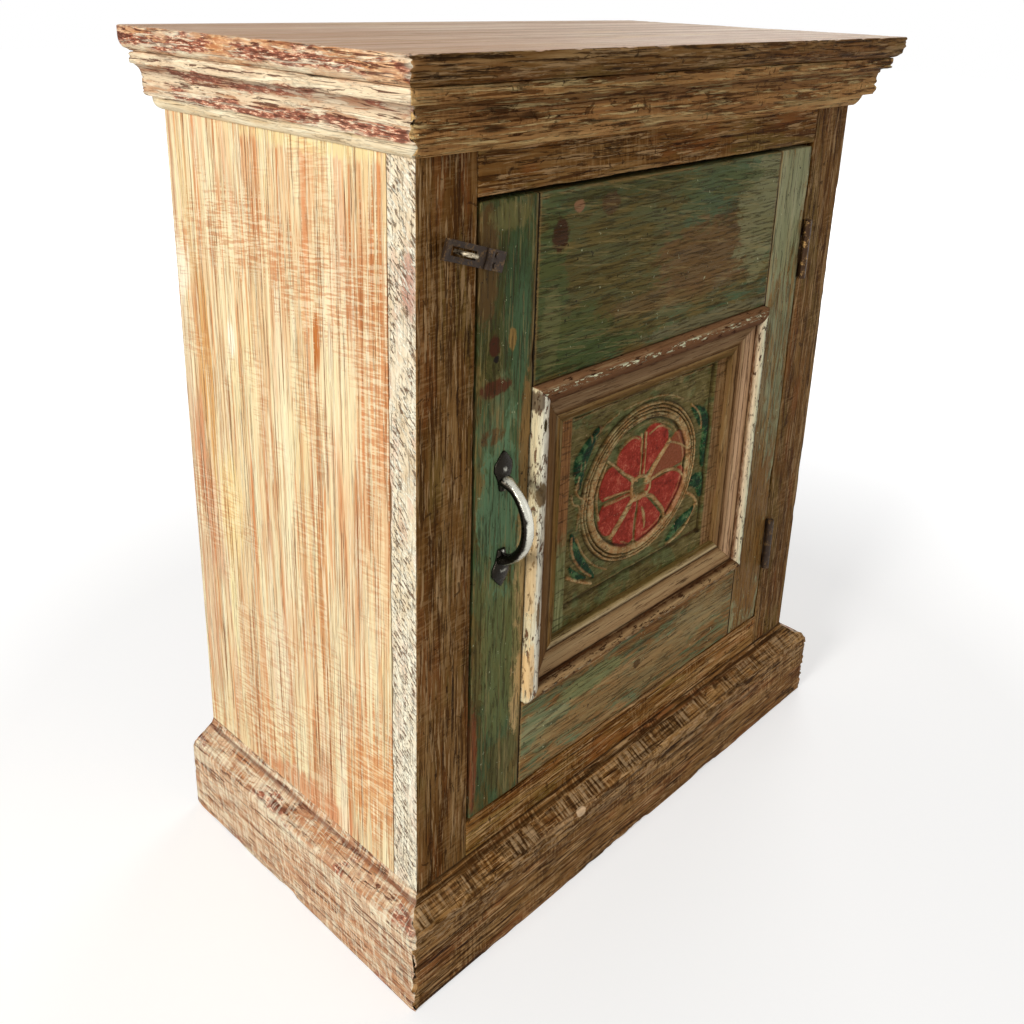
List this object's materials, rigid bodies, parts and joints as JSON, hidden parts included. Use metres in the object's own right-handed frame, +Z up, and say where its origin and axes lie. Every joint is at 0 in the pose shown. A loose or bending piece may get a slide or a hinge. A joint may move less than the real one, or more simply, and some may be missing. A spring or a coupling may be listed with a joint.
{
  "type": "nightstand",
  "caption": "Painted wooden nightstand with a moulded top, plinth and a framed door whose carved rosette panel sits in a raised moulding, with hinges, bow pull, hasp and inner shelf.",
  "frame": {"origin": "middle of the footprint's bounding box, on the floor", "axes": "+Z up, -Y towards the front with the door, +X to the right seen from the front"},
  "size_m": [0.55, 0.295, 0.65],
  "materials": {
    "top_wood": "smooth sealed old boards, satin",
    "cream_paint": "cream and ochre paint over wood, rubbed through",
    "brown_paint": "dark brown worn paint over wood",
    "teal_paint": "teal green paint, flaked and rubbed to brown wood",
    "carved_paint": "olive, crimson and tan paint on carved wood",
    "moulding_paint": "brown and mauve paint, worn to white ground on the crests",
    "plain_wood": "bare sawn softwood",
    "hinge_brass": "tarnished brass",
    "black_iron": "black iron, rubbed bright on its edges",
    "screw_steel": "dull steel"
  },
  "bodies": {
    "case": {"top_board": "top_wood", "cornice_front": "brown_paint", "cornice_right": "cream_paint", "cornice_left": "cream_paint", "bed_bead_front": "brown_paint", "bed_bead_right": "cream_paint", "bed_bead_left": "cream_paint", "plinth_front": "brown_paint", "plinth_right": "cream_paint", "plinth_left": "cream_paint", "side_panel_left": "cream_paint", "side_panel_right": "cream_paint", "back_board_left": "plain_wood", "back_board_middle": "plain_wood", "back_board_right": "plain_wood", "bottom_board": "plain_wood", "shelf": "plain_wood", "shelf_cleat_left": "plain_wood", "shelf_cleat_right": "plain_wood", "bottom_cleat_left": "plain_wood", "bottom_cleat_right": "plain_wood", "rear_rail_top": "plain_wood", "rear_rail_bottom": "plain_wood", "door_stop": "plain_wood", "corner_block_left": "plain_wood", "corner_block_right": "plain_wood", "frame_stile_left": "brown_paint", "frame_stile_right": "brown_paint", "frame_rail_top": "brown_paint", "frame_rail_bottom": "brown_paint", "upper_hinge_frame_leaf": "hinge_brass", "upper_hinge_pin": "hinge_brass", "lower_hinge_frame_leaf": "hinge_brass", "lower_hinge_pin": "hinge_brass", "hinge_screws_frame": "screw_steel", "latch_staple": "black_iron"},
    "door": {"door_stile_left": "teal_paint", "door_stile_right": "teal_paint", "door_rail_bottom": "teal_paint", "door_rail_top": "teal_paint", "carved_panel": "carved_paint", "panel_moulding_bottom": "moulding_paint", "panel_moulding_right": "moulding_paint", "panel_moulding_top": "moulding_paint", "panel_moulding_left": "moulding_paint", "upper_hinge_door_leaf": "hinge_brass", "lower_hinge_door_leaf": "hinge_brass", "hinge_screws_door": "screw_steel", "pull_handle": "black_iron", "handle_screws": "screw_steel", "hasp_plate": "black_iron", "hasp_pin": "black_iron", "hasp_nails": "screw_steel"},
    "hasp": {"hasp_strap": "black_iron"}
  },
  "joints": [
    {"name": "door_hinge", "type": "hinge", "parent": "case", "child": "door", "pos_m": [0.192, -0.1213, 0.3335], "axis": [0, 0, 1], "range_deg": [0, 165]},
    {"name": "hasp_hinge", "type": "hinge", "parent": "door", "child": "hasp", "pos_m": [-0.1895, -0.1204, 0.529], "axis": [0.309, 0, 0.9511], "range_deg": [0, 165]}
  ]
}
